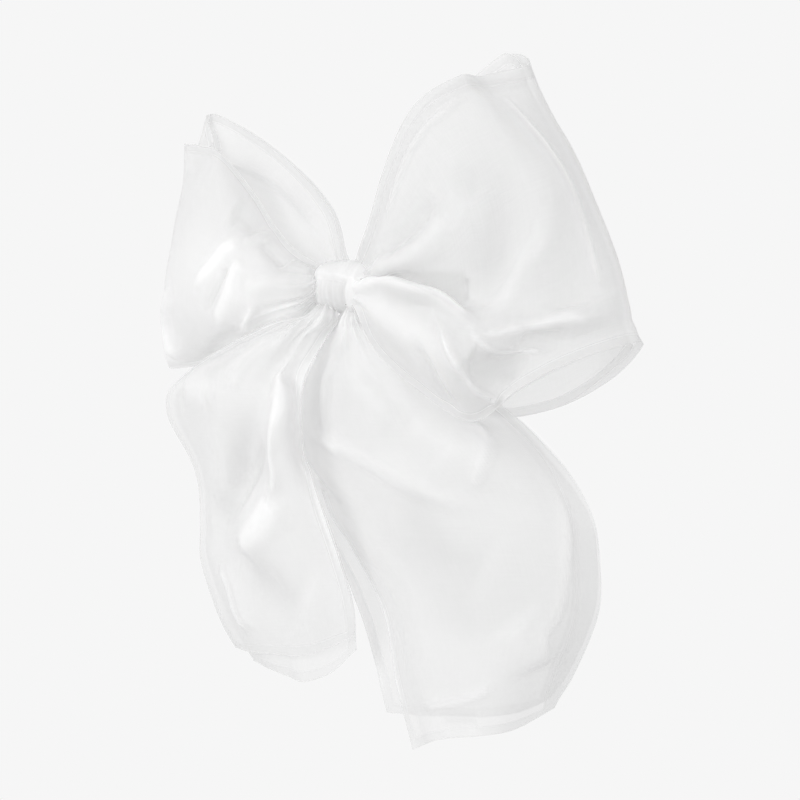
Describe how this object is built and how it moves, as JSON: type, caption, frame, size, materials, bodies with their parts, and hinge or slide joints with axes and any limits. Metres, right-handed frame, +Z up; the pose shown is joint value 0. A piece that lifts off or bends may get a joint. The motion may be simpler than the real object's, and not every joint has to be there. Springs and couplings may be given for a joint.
{
  "type": "hair bow",
  "caption": "Oversized sheer ribbon bow with open loops, long hanging tails and a wrapped knot, sewn to a hinged spring barrette.",
  "frame": {"origin": "middle of the clasp arm's head-side face, where the barrette lies on the head", "axes": "+X along the barrette to the latch end, +Y toward the head, +Z up; the bow's front faces -Y"},
  "size_m": [0.2327, 0.0797, 0.2812],
  "materials": {
    "organza": "sheer crisp organza, slight sheen",
    "knot_organza": "folded organza, several layers deep",
    "thread": "twisted polyester thread",
    "backing": "satin-faced ribbon on felt",
    "plate_steel": "nickel-plated stamped steel",
    "spring_steel": "bright spring steel"
  },
  "bodies": {
    "root": {"loop_right_outer_ply": "organza", "loop_right_inner_ply": "organza", "loop_left_outer_ply": "organza", "loop_left_inner_ply": "organza", "knot_band": "knot_organza", "loop_thread": "thread", "stitches_right": "thread", "stitches_left": "thread", "backing_ribbon": "backing", "base_plate": "plate_steel", "hinge_pin": "plate_steel", "tension_bar": "spring_steel"},
    "clasp_arm": {"clasp_arm": "plate_steel"},
    "latch_prong_upper": {"latch_prong_upper": "spring_steel"},
    "latch_prong_lower": {"latch_prong_lower": "spring_steel"},
    "tail_right": {"tail_right_front_ply": "organza", "tail_right_back_ply": "organza", "tail_thread_right": "thread"},
    "tail_left": {"tail_left_front_ply": "organza", "tail_left_back_ply": "organza", "tail_thread_left": "thread"}
  },
  "joints": [
    {"name": "clasp_arm_hinge", "type": "hinge", "parent": "root", "child": "clasp_arm", "pos_m": [-0.039, 0.0012, 0], "axis": [0, 0, 1], "range_deg": [0, 75]},
    {"name": "prong_upper_squeeze", "type": "hinge", "parent": "root", "child": "latch_prong_upper", "pos_m": [0.038, -0.0014, 0.0018], "axis": [-1, 0, 0], "range_deg": [0, 5], "stiffness_Nm_per_rad": 0.2},
    {"name": "prong_lower_squeeze", "type": "hinge", "parent": "root", "child": "latch_prong_lower", "pos_m": [0.038, -0.0014, -0.0018], "axis": [1, 0, 0], "range_deg": [0, 5], "stiffness_Nm_per_rad": 0.2},
    {"name": "tail_right_swing", "type": "hinge", "parent": "root", "child": "tail_right", "pos_m": [0, -0.029, -0.011], "axis": [1, 0, 0], "range_deg": [-10, 8]},
    {"name": "tail_left_swing", "type": "hinge", "parent": "root", "child": "tail_left", "pos_m": [0, -0.029, -0.011], "axis": [1, 0, 0], "range_deg": [-10, 8]}
  ],
  "couplings": [
    {"joint": "tail_left_swing", "follows": "tail_right_swing", "ratio": 1}
  ]
}
